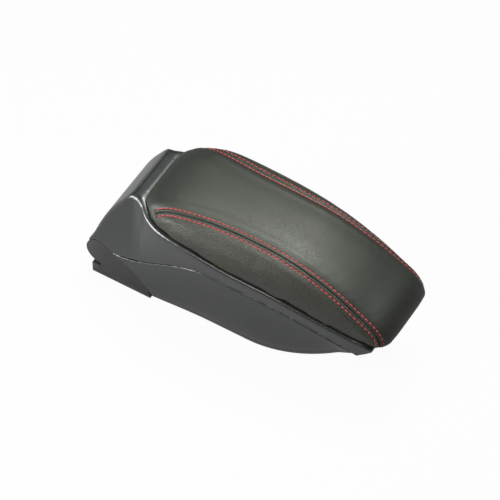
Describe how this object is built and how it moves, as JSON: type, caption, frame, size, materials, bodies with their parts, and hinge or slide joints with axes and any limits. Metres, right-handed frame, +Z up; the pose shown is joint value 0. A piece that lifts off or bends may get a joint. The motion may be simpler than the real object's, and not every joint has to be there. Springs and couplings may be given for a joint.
{
  "type": "car centre armrest",
  "caption": "Folding centre armrest: a padded leather lid over a boat-shaped storage bin, hinged at a round rear hub on a bolted foot.",
  "frame": {"origin": "centre of the four mounting holes, on the underside of the foot", "axes": "+X from the hub to the nose, +Y to the left, +Z up; the underside of foot and bin lies at Z = 0"},
  "size_m": [0.3307, 0.117, 0.1628],
  "materials": {
    "foot_plastic": "fine grain",
    "bracket_steel": "black coated",
    "bright_steel": "plated",
    "cast_alloy": "as cast",
    "bronze": "plain",
    "bin_plastic": "satin",
    "liner_plastic": "fine grain",
    "mat_rubber": "matt",
    "trim_plastic": "satin",
    "pad_wood": "pressed fibre board",
    "foam": "open cell foam",
    "leather": "fine pebble grain",
    "leather_side": "coarser pebble grain"
  },
  "bodies": {
    "foot": {"base_cover": "foot_plastic", "base_bracket": "bracket_steel", "pivot_shaft": "bright_steel"},
    "bin": {"hinge_arm": "cast_alloy", "friction_washers": "bronze", "bin_shell": "bin_plastic", "bin_liner": "liner_plastic", "bin_mat": "mat_rubber", "arm_screws": "bright_steel", "striker": "bright_steel"},
    "lid": {"lid_trim": "trim_plastic", "lid_board": "liner_plastic", "lid_hinge": "bracket_steel", "hinge_screws": "bright_steel", "pad_board": "pad_wood", "pad_foam": "foam", "cover_centre": "leather", "cover_left": "leather_side", "cover_right": "leather_side", "latch_housing": "liner_plastic", "latch_pin": "bright_steel", "latch_springs": "bright_steel"},
    "lever": {"latch_lever": "foot_plastic"}
  },
  "joints": [
    {"name": "arm_swing", "type": "hinge", "parent": "foot", "child": "bin", "pos_m": [-0.022, 0, 0.0342], "axis": [0, -1, 0], "range_deg": [0, 75]},
    {"name": "lid_open", "type": "hinge", "parent": "bin", "child": "lid", "pos_m": [-0.022, 0, 0.0342], "axis": [0, -1, 0], "range_deg": [0, 45]},
    {"name": "lever_lift", "type": "hinge", "parent": "lid", "child": "lever", "pos_m": [0.235, 0, 0.09021], "axis": [0, -1, 0], "range_deg": [0, 6], "stiffness_Nm_per_rad": 0.05, "springref_deg": -11.46}
  ]
}
